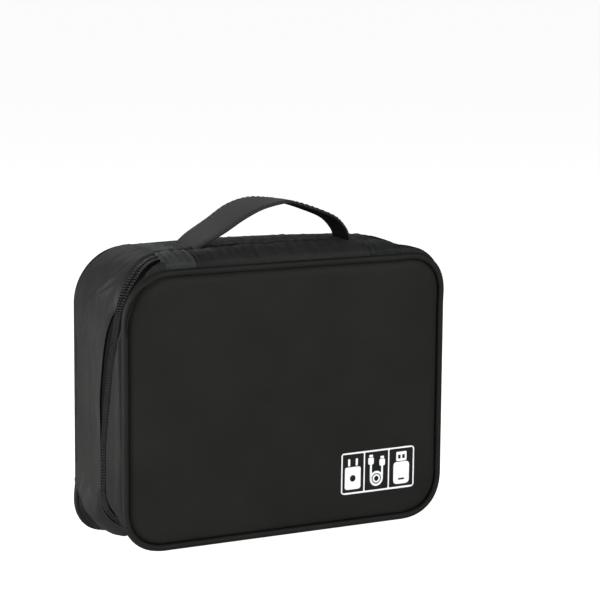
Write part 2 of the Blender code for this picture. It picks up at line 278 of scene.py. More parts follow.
def wovenCloth(name, look):
    # threads cross on the piece's own UV map, which is in metres
    material, shader = startMaterial(name, look["roughness"], look["specular"], look.get("sheen", 0))
    place = addNode(material, "ShaderNodeUVMap", uv_map="surface").outputs[0]
    period = wavePeriod / look["thread"]
    yarn = {"Vector": place, "Scale": period, "Distortion": 0.6, "Detail Scale": 2.0}
    warp = addNode(material, "ShaderNodeTexWave", yarn, bands_direction="X")
    weft = addNode(material, "ShaderNodeTexWave", yarn, bands_direction="Y")
    threads = addNode(material, "ShaderNodeMath", {0: warp.outputs["Fac"], 1: weft.outputs["Fac"]},
                      operation="MAXIMUM")
    # long uneven fibres, drawn out along the piece; on filament nylon their streaks are also a painted
    # sheen
    stretched = addNode(material, "ShaderNodeMapping", {"Vector": place, "Scale": look["fibre"]})
    fibresAndSheen = addNode(material, "ShaderNodeTexNoise", {"Vector": stretched.outputs[0], "Scale": 1.0,
                                                      "Detail": 3.0, "Roughness": 0.6})
    clouds = addNode(material, "ShaderNodeTexNoise", {"Vector": place, "Scale": 22.0, "Detail": 2.0})
    tone = addNode(material, "ShaderNodeMath", {0: fibresAndSheen.outputs["Fac"], 1: look["fibreShare"],
                                                2: clouds.outputs["Fac"]}, operation="MULTIPLY_ADD")
    shaded = addNode(material, "ShaderNodeMath", {0: threads.outputs[0], 1: look["threadShare"],
                                                  2: tone.outputs[0]}, operation="MULTIPLY_ADD")
    middle = 0.5 + 0.5 * look["fibreShare"] + 0.6 * look["threadShare"]
    spread = addNode(material, "ShaderNodeMapRange", {"Value": shaded.outputs[0],
                                                      "From Min": middle - look["spread"],
                                                      "From Max": middle + look["spread"]})
    # painted shade: the 'shade' attribute darkens the cloth's colour where a piece lies in shade
    shadeAttribute = addNode(material, "ShaderNodeAttribute", attribute_name="shade")
    shadedTone = addNode(material, "ShaderNodeMath", {0: spread.outputs[0], 1: shadeAttribute.outputs["Fac"]},
                     operation="SUBTRACT")
    linkColour(material, shader, shadedTone.outputs[0], look["dark"], look["light"])
    linkBump(material, shader, threads.outputs[0], look["bump"], look["depth"])
    return material


# PU-coated polyester: smooth and matt, with a fine tight weave that hardly shows
coatedPolyester = wovenCloth("coatedPolyester", {
    "thread": 0.0009, "dark": "#1b1b19", "light": "#222220", "roughness": 0.6, "specular": 0.16,
    "fibre": (60, 60, 60), "fibreShare": 0.3, "threadShare": 0.15, "spread": 0.35,
    "bump": 0.12, "depth": 0.00008})
# filament nylon: soft sheen, and colour streaks along the threads that are partly uneven yarn and
# partly a painted sheen; a little lighter
filamentNylon = wovenCloth("filamentNylon", {
    "thread": 0.0010, "dark": "#202020", "light": "#2e2e2d", "roughness": 0.58, "specular": 0.18,
    "sheen": 0.03, "fibre": (9, 420, 1), "fibreShare": 0.8, "threadShare": 0.25, "spread": 0.5,
    "bump": 0.25, "depth": 0.0001})
# oxford nylon: the same yarn in a coarser, cooler weave, used at the ends of the hinge; its colour is
# drawn lighter as painted light on the lit left end, and the right end takes painted shade
oxfordNylon = wovenCloth("oxfordNylon", {
    "thread": 0.0016, "dark": "#2c302f", "light": "#404544", "roughness": 0.6, "specular": 0.2,
    "sheen": 0.06, "fibre": (160, 160, 1), "fibreShare": 0.6, "threadShare": 0.6, "spread": 0.6,
    "bump": 0.5, "depth": 0.00018})
# herringbone polyester tape: flat black, close ribs along the zip
zipTape = wovenCloth("zipTape", {
    "thread": 0.0012, "dark": "#080809", "light": "#141516", "roughness": 0.8, "specular": 0.1,
    "fibre": (300, 60, 1), "fibreShare": 0.4, "threadShare": 0.6, "spread": 0.5,
    "bump": 0.5, "depth": 0.00015})
# polyester webbing: dense ribs across its width, soft grey bloom
strapWebbing = wovenCloth("strapWebbing", {
    "thread": 0.0012, "dark": "#262726", "light": "#333433", "roughness": 0.6, "specular": 0.2,
    "sheen": 0.08, "fibre": (14, 300, 1), "fibreShare": 0.6, "threadShare": 0.35, "spread": 0.5,
    "bump": 0.4, "depth": 0.00016})
# smooth polyester backing under the strap, nearly black
strapFelt = wovenCloth("strapBacking", {
    "thread": 0.0012, "dark": "#0f1110", "light": "#191b1a", "roughness": 0.8, "specular": 0.12,
    "fibre": (60, 60, 1), "fibreShare": 0.5, "threadShare": 0.3, "spread": 0.5,
    "bump": 0.3, "depth": 0.0001})
# brushed loop lining: pale grey, soft nap that a hook tape grips
brushedLining = wovenCloth("brushedLining", {
    "thread": 0.0013, "dark": "#a9a8a3", "light": "#c4c3be", "roughness": 0.95, "specular": 0.1,
    "sheen": 0.3, "fibre": (500, 500, 1), "fibreShare": 0.9, "threadShare": 0.1, "spread": 0.6,
    "bump": 0.4, "depth": 0.00025})
# greige loop lining of the base and its dividers
greigeLining = wovenCloth("greigeLining", {
    "thread": 0.0013, "dark": "#969489", "light": "#b3b1a6", "roughness": 0.95, "specular": 0.1,
    "sheen": 0.3, "fibre": (500, 500, 1), "fibreShare": 0.9, "threadShare": 0.1, "spread": 0.6,
    "bump": 0.4, "depth": 0.00025})
# knitted elastic: fine ribs that run along the band
knittedElastic = wovenCloth("knittedElastic", {
    "thread": 0.0015, "dark": "#a4a7a8", "light": "#c3c6c7", "roughness": 0.85, "specular": 0.15,
    "sheen": 0.15, "fibre": (20, 600, 1), "fibreShare": 0.5, "threadShare": 0.6, "spread": 0.6,
    "bump": 0.6, "depth": 0.0003})
# grosgrain binding: white cross-ribbed tape folded over the raw seam
grosgrain = wovenCloth("grosgrain", {
    "thread": 0.0012, "dark": "#c9c9c5", "light": "#e6e6e2", "roughness": 0.8, "specular": 0.2,
    "sheen": 0.1, "fibre": (400, 60, 1), "fibreShare": 0.3, "threadShare": 0.7, "spread": 0.6,
    "bump": 0.6, "depth": 0.0003})


def coilNylon():
    # extruded nylon filament: satin black, small highlights on each turn; its colour has random paler
    # patches, partly a painted highlight on the turns
    material, shader = startMaterial("coilNylon", 0.4, 0.4)
    place = addNode(material, "ShaderNodeTexCoord").outputs["Object"]
    toneAndGlints = addNode(material, "ShaderNodeTexNoise", {"Vector": place, "Scale": 700.0, "Detail": 2.0})
    linkColour(material, shader, toneAndGlints.outputs["Fac"], "#151515", "#3e3e3e")
    return material


def foamSheet():
    # EVA foam: fine closed cells, charcoal
    material, shader = startMaterial("foamSheet", 0.9, 0.2)
    place = addNode(material, "ShaderNodeTexCoord").outputs["Object"]
    cells = addNode(material, "ShaderNodeTexVoronoi", {"Vector": place, "Scale": 900.0})
    linkColour(material, shader, cells.outputs["Distance"], "#3a3a3a", "#4c4c4c")
    linkBump(material, shader, cells.outputs["Distance"], 0.3, 0.0002)
    return material


def lacqueredZinc():
    # die-cast zinc, black nickel lacquer: soft reflections, rubbed paler on its edges
    material, shader = startMaterial("lacqueredZinc", 0.32, 0.5, metallic=0.85)
    place = addNode(material, "ShaderNodeTexCoord").outputs["Object"]
    cast = addNode(material, "ShaderNodeTexNoise", {"Vector": place, "Scale": 900.0, "Detail": 4.0})
    edge = addNode(material, "ShaderNodeNewGeometry").outputs["Pointiness"]
    rubbed = addNode(material, "ShaderNodeMapRange", {"Value": edge, "From Min": 0.5, "From Max": 0.62})
    linkColour(material, shader, rubbed.outputs[0], "#222324", "#5c5d5f")
    linkBump(material, shader, cast.outputs["Fac"], 0.15, 0.00008)
    return material


def transferPrint():
    # heat-transfer film: flat white ink, very slightly uneven
    material, shader = startMaterial("transferPrint", 0.55, 0.3)
    place = addNode(material, "ShaderNodeTexCoord").outputs["Object"]
    ink = addNode(material, "ShaderNodeTexNoise", {"Vector": place, "Scale": 500.0, "Detail": 3.0})
    linkColour(material, shader, ink.outputs["Fac"], "#eff0f2", "#ffffff")
    return material


def netMesh():
    # warp-knitted net: small open holes between pale threads
    material, shader = startMaterial("netMesh", 0.8, 0.2)
    place = addNode(material, "ShaderNodeUVMap", uv_map="surface").outputs[0]
    holes = addNode(material, "ShaderNodeTexVoronoi",
                    {"Vector": place, "Scale": 620.0, "Randomness": 0.12},
                    voronoi_dimensions="2D", feature="DISTANCE_TO_EDGE")
    thread = addNode(material, "ShaderNodeMapRange", {"Value": holes.outputs["Distance"],
                                                      "From Min": 0.16, "From Max": 0.24,
                                                      "To Min": 1.0, "To Max": 0.0})
    linkColour(material, shader, thread.outputs[0], "#c9cccf", "#e3e5e7")
    material.node_tree.links.new(thread.outputs[0], shader.inputs["Alpha"])
    return material


def hookTape():
    # moulded hook tape: rows of tiny stiff hooks, charcoal
    material, shader = startMaterial("hookTape", 0.7, 0.3)
    place = addNode(material, "ShaderNodeTexCoord").outputs["Object"]
    hooks = addNode(material, "ShaderNodeTexVoronoi", {"Vector": place, "Scale": 850.0})
    linkColour(material, shader, hooks.outputs["Distance"], "#6d6e6c", "#4a4b4a")
    linkBump(material, shader, hooks.outputs["Distance"], 0.7, 0.0004)
    return material


def sewingThread():
    # bonded polyester thread, black, a little glossier than the cloth
    material, shader = startMaterial("sewingThread", 0.5, 0.35)
    place = addNode(material, "ShaderNodeTexCoord").outputs["Object"]
    twist = addNode(material, "ShaderNodeTexWave", {"Vector": place, "Scale": 900.0},
                    bands_direction="DIAGONAL")
    linkColour(material, shader, twist.outputs["Fac"], "#1c1d1d", "#343535")
    return material


coilBlack = coilNylon()
evaFoam = foamSheet()
zincBlack = lacqueredZinc()
whitePrint = transferPrint()
pocketNet = netMesh()
hookBlack = hookTape()
threadBlack = sewingThread()
print("materials made")


# ways of making a piece
def clearSelection():
    bpy.ops.object.select_all(action="DESELECT")


def selectOnly(piece):
    clearSelection()
    bpy.context.view_layer.objects.active = piece
    piece.select_set(True)


def selectEdges(piece, isWanted):
    # leaves the piece in edit mode with only the wanted edges selected
    bpy.ops.object.mode_set(mode="EDIT")
    bpy.ops.mesh.select_all(action="DESELECT")
    bpy.ops.object.mode_set(mode="OBJECT")
    for edge in piece.data.edges:
        edge.select = isWanted(edge, *[piece.data.vertices[i].co for i in edge.vertices])
    bpy.ops.object.mode_set(mode="EDIT")
    bpy.ops.mesh.select_mode(type="EDGE")


def applyModifier(piece, kind, **settings):
    selectOnly(piece)
    modifier = piece.modifiers.new(kind.title(), kind)
    for key, value in settings.items():
        setattr(modifier, key, value)
    bpy.ops.object.modifier_apply(modifier=modifier.name)


def giveThickness(piece, thickness):
    applyModifier(piece, "SOLIDIFY", thickness=thickness, offset=-1, use_quality_normals=True)


def roundEdges(piece, width, segments=3, angle=30):
    applyModifier(piece, "BEVEL", width=width, segments=segments, limit_method="ANGLE",
                  angle_limit=math.radians(angle))


def layGrid(name, columns, rows, place, away=None, shadeAt=None):
    # a grid primitive laid over a surface; place(u, v) gives the point and its cloth coordinates
    clearSelection()
    bpy.ops.mesh.primitive_grid_add(x_subdivisions=columns, y_subdivisions=rows, size=1)
    piece = bpy.context.object
    piece.name = name
    piece.data.name = name
    mesh = piece.data
    surface = []
    for vertex in mesh.vertices:
        point, flat = place(vertex.co.x + 0.5, vertex.co.y + 0.5)
        vertex.co = point
        surface.append(flat)
    layer = mesh.uv_layers[0] if mesh.uv_layers else mesh.uv_layers.new()
    layer.name = "surface"
    for loop in mesh.loops:
        layer.data[loop.index].uv = surface[loop.vertex_index]
    # shadeAt gives each point's painted shade, kept in the 'shade' attribute
    if shadeAt:
        shadeLayer = mesh.attributes.new("shade", "FLOAT", "POINT")
        for index, (along, across) in enumerate(surface):
            shadeLayer.data[index].value = shadeAt(along, across)
    work = bmesh.new()
    work.from_mesh(mesh)
    bmesh.ops.remove_doubles(work, verts=work.verts, dist=sameSpot)
    if away is not None:
        facing = sum(face.normal.dot(face.calc_center_median() - away(face.calc_center_median()))
                     * face.calc_area() for face in work.faces)
        if facing < 0:
            bmesh.ops.reverse_faces(work, faces=work.faces)
    work.to_mesh(mesh)
    work.free()
    return piece


def finishPiece(piece, material, body, replaced=(), smooth=50):
    # smooth shading up to an angle, its finish, the body it rides on and the nodes it stands for
    selectOnly(piece)
    bpy.ops.object.shade_smooth_by_angle(angle=math.radians(smooth))
    piece.data.materials.clear()
    piece.data.materials.append(material)
    if body:
        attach(piece, body)
    if replaced:
        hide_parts(*replaced)
    clearSelection()


def caseAxis(point):
    # the case's own middle line, which its outer faces look away from
    return Vector((point.x * 0.75, point.y, height / 2 + (point.z - height / 2) * 0.65))


def layStrip(name, columns, rows, profile, thickness, start=trackStart, end=trackEnd,
             away=caseAxis, shadeAt=None):
    # cloth round the case: profile(distance, v) gives the depth and how far it stands out
    def place(u, v):
        distance = start + (end - start) * u
        y, out = profile(distance, v)
        return onShell(distance, y, out), (distance, y)

    piece = layGrid(name, columns, rows, place, away, shadeAt)
    giveThickness(piece, thickness)
    return piece


def layTube(name, columns, sides, depth, inset, tubeRadius):
    # corded piping or binding round the whole case
    def place(u, v):
        distance = perimeter * u
        turn = 2 * math.pi * v
        rim = math.cos(turn) * outwardAt(distance) + math.sin(turn) * Vector((0, 1, 0))
        return onShell(distance, depth, -inset) + tubeRadius * rim, (distance, tubeRadius * turn)

    def nearestCore(point):
        return min(cores, key=lambda core: (core - point).length_squared)

    cores = [onShell(perimeter * i / 240, depth, -inset) for i in range(241)]
    return layGrid(name, columns, sides, place, nearestCore)


def layDisc(name, columns, rings, inset, depthAt, thickness, facing):
    # a panel across the case: rings from its edge in to the middle, close together at the edge
    middle = Vector((0, 0, height / 2))

    def place(u, v):
        share = 1 - 0.985 * (0.35 * v + 0.65 * v**2.6)
        x, z, outX, outZ = outlinePoint(perimeter * u)
        deep = inset - cornerFill(perimeter * u, depthAt(0, 0, 0))
        x, z = x - deep * outX, z - deep * outZ
        x, z = x * share, middle.z + (z - middle.z) * share
        fromEdge = (1 - share) * (height / 2 - inset)
        return shapeCase(x, depthAt(x, z, fromEdge), z), (x, z)

    def behind(point):
        return point - Vector((0, facing, 0))

    def isInnerLip(edge, *ends):
        near = all(abs(p.x) < 0.01 and abs(p.z - middle.z) < 0.01 for p in ends)
        return near and facesAt[edge.key] == 1

    piece = layGrid(name, columns, rings, place, behind)
    facesAt = {}
    for polygon in piece.data.polygons:
        for key in polygon.edge_keys:
            facesAt[key] = facesAt.get(key, 0) + 1
    selectOnly(piece)
    selectEdges(piece, isInnerLip)
    bpy.ops.mesh.edge_face_add()        # closes the hole left in the middle
    bpy.ops.object.mode_set(mode="OBJECT")
    if thickness:
        giveThickness(piece, thickness)
    return piece


def repeatAlong(name, template, places):
    # one small piece copied to many places and kept as one object
    work = bmesh.new()
    for place in places:
        before = len(work.verts)
        work.from_mesh(template.data)
        work.verts.ensure_lookup_table()
        bmesh.ops.transform(work, matrix=place, verts=work.verts[before:])
    mesh = bpy.data.meshes.new(name)
    work.to_mesh(mesh)
    work.free()
    piece = bpy.data.objects.new(name, mesh)
    bpy.context.scene.collection.objects.link(piece)
    return piece


def placeOn(point, along, outward):
    # a matrix whose X runs along, Z points outward and Y crosses
    along = along.normalized()
    across = outward.cross(along).normalized()
    outward = along.cross(across)
    place = Matrix((along, across, outward)).transposed().to_4x4()
    place.translation = point
    return place


# lid: front panel, foam, piping and side
frontPanelShape = {
    "inset": 0.0046, "edgeY": frontSeam, "rise": 0.0033, "shoulder": 0.0052, "crown": 0.0011,
    "thickness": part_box("lid_front_panel")[1].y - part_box("lid_front_panel")[0].y,
}
panelCurve = {"crownReach": 0.07, "swell": (0.06, 0.00025, 3.1)}
foamShape = {"inset": 0.0058, "gap": 0.0004}
pipingShape = {"behindFront": 0.0001, "inside": 0.0002, "backRadius": 0.0023}


def pillow(shape, facing, fromEdge, x, z):
    # a quick round shoulder at the seam, then a slow crown
    near = min(1.0, fromEdge / shape["shoulder"])
    rise = shape["rise"] * math.sqrt(max(0.0, 1 - (1 - near) ** 2))
    rise += shape["crown"] * (1 - (1 - min(1.0, fromEdge / panelCurve["crownReach"])) ** 2)
    rise += unevenness((x, z), *panelCurve["swell"]) * near
    return shape["edgeY"] + facing * rise


def frontSurface(x, z):
    # depth of the front panel's face well inside its seam
    half = height / 2
    fromEdge = min(halfWidth - abs(x), (half - abs(z - half)) * halfWidth / half)
    return pillow(frontPanelShape, -1, fromEdge * half / halfWidth - frontPanelShape["inset"], x, z)


def makePanel(name, shape, facing, grids, body, nodesReplaced, foamBack):
    # a padded cover of the case and the foam behind it
    def face(x, z, fromEdge):
        return pillow(shape, facing, fromEdge, x, z)

    panel = layDisc(f"{name}Panel", *grids[0], shape["inset"], face, shape["thickness"], facing)
    finishPiece(panel, coatedPolyester, body, nodesReplaced[:1])
    behind = facing * (shape["thickness"] + foamShape["gap"])
    foam = layDisc(f"{name}Foam", *grids[1], foamShape["inset"],
                   lambda x, z, fromEdge: face(x, z, fromEdge) - behind, 0, facing)
    closeBehind(foam, foamBack)
    finishPiece(foam, evaFoam, body, nodesReplaced[1:])


def makeFront():
    makePanel("front", frontPanelShape, -1, ((240, 34), (120, 16)), "lid",
              ["lid_front_panel", "lid_foam"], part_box("lid_foam")[1].y)
    tubeRadius = (pipingHigh.y - pipingLow.y) / 2 + 0.0001
    piping = layTube("lidPiping", 369, 14, frontY + tubeRadius + pipingShape["behindFront"],
                     tubeRadius + pipingShape["inside"], tubeRadius)
    finishPiece(piping, coatedPolyester, "lid", ["lid_piping"])


def closeBehind(piece, y):
    # turns an open panel into a flat-backed slab
    selectOnly(piece)
    bpy.ops.object.mode_set(mode="EDIT")
    bpy.ops.mesh.select_all(action="SELECT")
    bpy.ops.mesh.duplicate()
    bpy.ops.mesh.flip_normals()
    bpy.ops.object.mode_set(mode="OBJECT")
    for vertex in piece.data.vertices:
        if vertex.select:
            vertex.co.y = y
    bpy.ops.object.mode_set(mode="EDIT")
    bpy.ops.mesh.select_all(action="DESELECT")
    bpy.ops.mesh.select_non_manifold(extend=False)
    bpy.ops.mesh.bridge_edge_loops()
    bpy.ops.mesh.select_all(action="SELECT")
    bpy.ops.mesh.normals_make_consistent(inside=False)
    bpy.ops.object.mode_set(mode="OBJECT")


gussetShape = {
    "weltWidth": 0.0046, "groove": 0.0008, "grooveWidth": 0.0006, "bulge": 0.0010,
    "edgeDrop": 0.0012, "edgeRoll": 0.0022, "narrowest": 0.0022, "thickness": 0.0012,
    # shade: painted shade that draws the lid's side darker than the base's wall of the same cloth
    "rumple": (0.03, 0.0007, 1.7), "shade": 0.35,
}


def gussetProfile(distance, v):
    shape = gussetShape
    back = follow(zipShape["line"], distance) - zipShape["rowHalf"]
    back = max(back - follow(zipShape["lidGap"], distance), frontSeam + shape["narrowest"])
    y = frontSeam + (back - frontSeam) * v
    fromSeam, fromEdge = y - frontSeam, back - y
    out = shape["bulge"] * math.sin(math.pi * min(1, max(0, v))) * ease((back - frontSeam) / 0.006)
    out -= sinkAt(fromSeam) + sinkAt(fromEdge, shape["edgeDrop"], shape["edgeRoll"])
    out -= shape["groove"] * bump(fromSeam - shape["weltWidth"], shape["grooveWidth"])
    out += unevenness((distance, y * 3), *shape["rumple"]) * ease(fromSeam / 0.004)
    return y, out


wallShape = {
    "bulge": 0.0012, "edgeDrop": 0.0013, "edgeRoll": 0.0026, "thickness": 0.0012,
    "rumple": (0.022, 0.0009, 5.3), "wrinkle": (0.010, 0.0005, 9.1),
    # creases as (distance, depth) points, with height and the reach to each side
    "fold": [(0.5080, 0.0040), (0.5156, 0.0090), (0.5202, 0.0102), (0.5302, 0.0113), (0.5416, 0.0172),
             (0.5482, 0.0265), (0.5560, 0.0365)],
    "foldHeight": 0.0030, "foldAbove": 0.011, "foldBelow": 0.012, "foldDrop": 0.0034,
    "creases": [([(0.700, -0.0200), (0.694, -0.0143), (0.6838, -0.0062), (0.6778, 0.0020),
                  (0.6636, 0.0148), (0.6542, 0.0288)], 0.0017, 0.0015),
                ([(0.6898, -0.0207), (0.6810, -0.0097), (0.6748, 0.0008), (0.6660, 0.0080)],
                 0.0014, 0.0016),
                ([(0.640, 0.0300), (0.655, 0.0180), (0.668, 0.0040)], 0.0008, 0.0026),
                ([(0.690, 0.0250), (0.700, 0.0050), (0.706, -0.0120)], 0.0006, 0.0036)],
}


def fromPath(path, distance, y):
    # how far a point lies from a drawn crease, signed, and how near the crease's middle it is
    best = (1.0, 0.0)
    for index in range(len(path) - 1):
        (d0, y0), (d1, y1) = path[index], path[index + 1]
        run = (d1 - d0, y1 - y0)
        length = math.hypot(*run)
        share = ((distance - d0) * run[0] + (y - y0) * run[1]) / length**2
        share = min(1, max(0, share))
        gap = (distance - d0 - share * run[0], y - y0 - share * run[1])
        side = 1 if run[0] * gap[1] - run[1] * gap[0] > 0 else -1
        away = math.hypot(*gap)
        if away < abs(best[0]):
            best = (side * away, (index + share) / (len(path) - 1))
    return best


def wallRelief(distance, y):
    shape = wallShape
    away, _ = fromPath(shape["fold"], distance, y)
    reach = shape["foldBelow"] if away > 0 else shape["foldAbove"]
    out = shape["foldHeight"] * max(0, 1 - abs(away) / reach) ** 1.25
    if away > 0:
        out -= shape["foldDrop"] * ease(away / reach) * (1 - ease((away - reach) / 0.02))
    for path, tall, wide in shape["creases"]:
        away, share = fromPath(path, distance, y)
        out += tall * bump(away, wide) * math.sin(math.pi * min(0.96, max(0.04, share)))
    out += unevenness((distance, y * 1.6), *shape["rumple"])
    out += unevenness((distance * 0.8, y * 3.0), *shape["wrinkle"])
    return out


def wallProfile(distance, v):
    shape = wallShape
    front = follow(zipShape["wallEdge"], distance)
    y = front + (backSeam - front) * v
    fromEdge, fromSeam = y - front, backSeam - y
    out = shape["bulge"] * math.sin(math.pi * min(1, max(0, v)))
    out += wallRelief(distance, y) * ease(fromEdge / 0.004) * ease(fromSeam / 0.004)
    out -= sinkAt(fromEdge, shape["edgeDrop"], shape["edgeRoll"]) + sinkAt(fromSeam)
    return y, out


def wallShade(distance, y):
    # painted shade: darker under the fold, where the cloth turns down and away from the light, and a
    # little darker at the upper left corner
    away, _ = fromPath(wallShape["fold"], distance, y)
    below = 1.15 * ease(away / 0.0025) * (1 - ease((away - 0.030) / 0.03)) if away > 0 else 0.0
    return below + 0.35 * ease((distance - 0.655) / 0.02) * (1 - ease((distance - 0.700) / 0.012))


def makeSides():
    gusset = layStrip("lidGusset", 352, 22, gussetProfile, gussetShape["thickness"],
                      shadeAt=lambda distance, y: gussetShape["shade"])
    finishPiece(gusset, filamentNylon, "lid", ["lid_gusset"])
    wall = layStrip("baseWall", 487, 46, wallProfile, wallShape["thickness"], shadeAt=wallShade)
    finishPiece(wall, filamentNylon, "base", ["base_wall"])


# spine, the hinge side on top
spineShape = {
    "halfMiddle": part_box("spine_middle")[1].x,
    "hingeDip": 0.0026, "hingeY": -0.0120, "hingeWidth": 0.0022, "thickness": 0.0012,
    "seamReach": 0.0018, "groove": 0.0010, "grooveFrom": 0.0040, "grooveWidth": 0.0007,
    "rumple": (0.02, 0.0006, 7.7), "wrinkle": (0.009, 0.0007, 4.4),
    # the hinge bends between these two depths
    "blendFrom": -0.0215, "blendTo": -0.0125,
}
spinePanels = {
    # each panel's left and right end, grid columns, seam depth, height over its neighbours and painted
    # shade
    "Middle": (-spineShape["halfMiddle"], spineShape["halfMiddle"], 100, 0.0009, 0.0, 0.0),
    "EndLeft": (-trackStart - 0.001, -spineShape["halfMiddle"] - 0.0002, 22, 0.0012, 0.0001, 0.0),
    # the right end takes painted shade, as it faces away from the light
    "EndRight": (spineShape["halfMiddle"] + 0.0002, trackStart + 0.001, 22, 0.0012, 0.0001, 0.9),
}


def bendWithLid(piece):
    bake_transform(piece)


def makeSpinePanel(name, left, right, columns, seamDepth, over, shade):
    shape = spineShape

    def profile(distance, v):
        y = frontSeam + (backSeam - frontSeam) * v
        fromSeam = min(y - frontSeam, backSeam - y)
        out = over - sinkAt(fromSeam)
        out -= shape["hingeDip"] * bump(y - shape["hingeY"], shape["hingeWidth"])
        for fromEnd in (distance - left, right - distance):
            out -= sinkAt(fromEnd, seamDepth, shape["seamReach"])
            out -= shape["groove"] * bump(fromEnd - shape["grooveFrom"], shape["grooveWidth"])
        rumple = unevenness((distance, y * 2.2), *shape["rumple"])
        rumple += unevenness((distance * 2.6, y), *shape["wrinkle"])
        return y, out + rumple * ease(fromSeam / 0.004)

    return layStrip(name, columns, 66, profile, shape["thickness"], left, right,
                    shadeAt=lambda distance, y: shade)


def makeSpine():
    finishes = {"Middle": (filamentNylon, ["spine_middle", "spine_front"]),
                "EndLeft": (oxfordNylon, ["spine_end_left"]),
                "EndRight": (oxfordNylon, ["spine_end_right"])}
    for name, measures in spinePanels.items():
        panel = makeSpinePanel(f"spine{name}", *measures)
        material, replaced = finishes[name]
        finishPiece(panel, material, None, replaced)
        bendWithLid(panel)


# zip
def makeTapes():
    shape = zipShape
    gap, reach = shape["tapeGap"], shape["tapeReach"]

    def lidTape(distance, v):
        line = follow(shape["line"], distance)
        return line - reach + (reach - gap) * v, -shape["tapeDepth"] - 0.0006 * (1 - v)

    def baseTape(distance, v):
        line = follow(shape["line"], distance)
        back = max(line + reach, follow(shape["wallEdge"], distance) + shape["tapeUnder"])
        return line + gap + (back - line - gap) * v, -shape["tapeDepth"] - 0.0008 * v

    for body, rows, profile in (("lid", 6, lidTape), ("base", 8, baseTape)):
        tape = layStrip(f"{body}ZipTape", 211, rows, profile, shape["tapeThickness"])
        finishPiece(tape, zipTape, body, [f"{body}_zip_tape"])


def makeTooth():
    # one turn of the coil: waisted between its ends, and rounded off at them
    shape = zipShape
    clearSelection()
    bpy.ops.mesh.primitive_cube_add(size=1)
    tooth = bpy.context.object
    tooth.scale = shape["tooth"]
    bpy.ops.object.transform_apply(location=False, rotation=False, scale=True)
    selectEdges(tooth, lambda edge, start, end: abs(start.y - end.y) > 0.001)
    bpy.ops.mesh.subdivide(number_cuts=3)
    bpy.ops.object.mode_set(mode="OBJECT")
    (waistX, waistZ), (tipX, tipZ) = shape["waist"], shape["tip"]
    for vertex in tooth.data.vertices:
        share = abs(vertex.co.y) / (shape["tooth"][1] / 2)
        vertex.co.x *= waistX + (1 - waistX) * share
        vertex.co.z *= waistZ + (1 - waistZ) * share if vertex.co.z > 0 else 1
        if share > 0.9:
            vertex.co.z *= tipZ
            vertex.co.x *= tipX
    return tooth


def makeCoils():
    shape = zipShape
    tooth = makeTooth()
    count = int((trackEnd - trackStart) / shape["pitch"])
    for side, body in ((-1, "lid"), (1, "base")):

        def coilPoint(at):
            return onShell(at, follow(shape["line"], at) + side * shape["rowOffset"], -shape["sunk"])

        places = []
        for index in range(count):
            distance = trackStart + (index + 0.5 + 0.25 * side) * shape["pitch"]
            along = coilPoint(distance + 0.001) - coilPoint(distance - 0.001)
            places.append(placeOn(coilPoint(distance), along, outwardAt(distance)))
        coil = repeatAlong(f"{body}ZipCoil", tooth, places)
        finishPiece(coil, coilBlack, body, [f"{body}_zip_coil"], 30)
    bpy.data.objects.remove(tooth)


# back of the case
backPanelShape = {
    "inset": 0.0046, "edgeY": backSeam, "rise": 0.0032, "shoulder": 0.0052, "crown": 0.0010,
    "thickness": 0.0012,
}


def makeBack():
    makePanel("back", backPanelShape, 1, ((200, 26), (120, 16)), "base",
              ["base_back_panel", "base_back_foam"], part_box("base_back_foam")[0].y)
    tubeRadius = pipingShape["backRadius"]
    piping = layTube("basePiping", 325, 12, backY - tubeRadius - pipingShape["behindFront"],
                     tubeRadius + pipingShape["inside"], tubeRadius)
    finishPiece(piping, coatedPolyester, "base", ["base_piping"])


makeFront()
makeSides()
makeSpine()
makeTapes()
makeCoils()
makeBack()
print("case made")


# carry strap
strapShape = {
    # the strap's outer face from its left foot to its right one
    "path": [(-0.0625, 0.1925), (-0.059, 0.197), (-0.051, 0.2026), (-0.036, 0.2104), (-0.021, 0.219),
             (-0.0055, 0.2242), (0.010, 0.2252), (0.019, 0.2241), (0.0350, 0.2192), (0.0520, 0.2122),
             (0.0606, 0.2040), (0.0635, 0.1972), (0.0642, 0.1925)],
    "width": [(0.0, 0.0240), (0.3, 0.0262), (0.5, 0.0230), (0.8, 0.0210), (1.0, 0.0205)],
    "outer": 0.0011, "backing": 0.0008, "gap": 0.0001,
    # how much higher its rear edge stands than its front one
    "tilt": [(0.0, 0.002), (0.15, 0.0045), (0.32, 0.0072), (0.42, 0.0048), (0.52, 0.0002),
             (0.75, -0.0008), (1.0, 0.0005)],
    "blendFrom": 0.1935, "blendTo": 0.2060,     # between these heights the foot bends into the strap
    "edgeRound": 0.0005, "edgeDrop": 0.0005, "edgeReach": 0.0014, "crown": 0.0003,
    "swell": (0.02, 0.0003, 2.2),
    # the sewn edge puckers between these two places across the case
    "puckerFrom": 0.002, "puckerTo": 0.038, "pucker": 0.00045, "puckerPitch": 0.0033,
    "stitchInset": 0.0016, "stitch": 0.0030, "thread": 0.0005,
}


def smoothPath(points, perSpan):
    # a round line through the given points, even from span to span
    spots = [Vector((x, 0, z)) for x, z in points]
    line = []
    for index in range(len(spots) - 1):
        start, end = spots[index], spots[index + 1]
        before, after = spots[max(0, index - 1)], spots[min(len(spots) - 1, index + 2)]
        for step in range(perSpan):
            t = step / perSpan
            leave, arrive = (end - before) / 2, (after - start) / 2
            line.append((2 * t**3 - 3 * t**2 + 1) * start + (t**3 - 2 * t**2 + t) * leave
                        + (3 * t**2 - 2 * t**3) * end + (t**3 - t**2) * arrive)
    return line + [spots[-1]]


strapLine = smoothPath(strapShape["path"], 12)


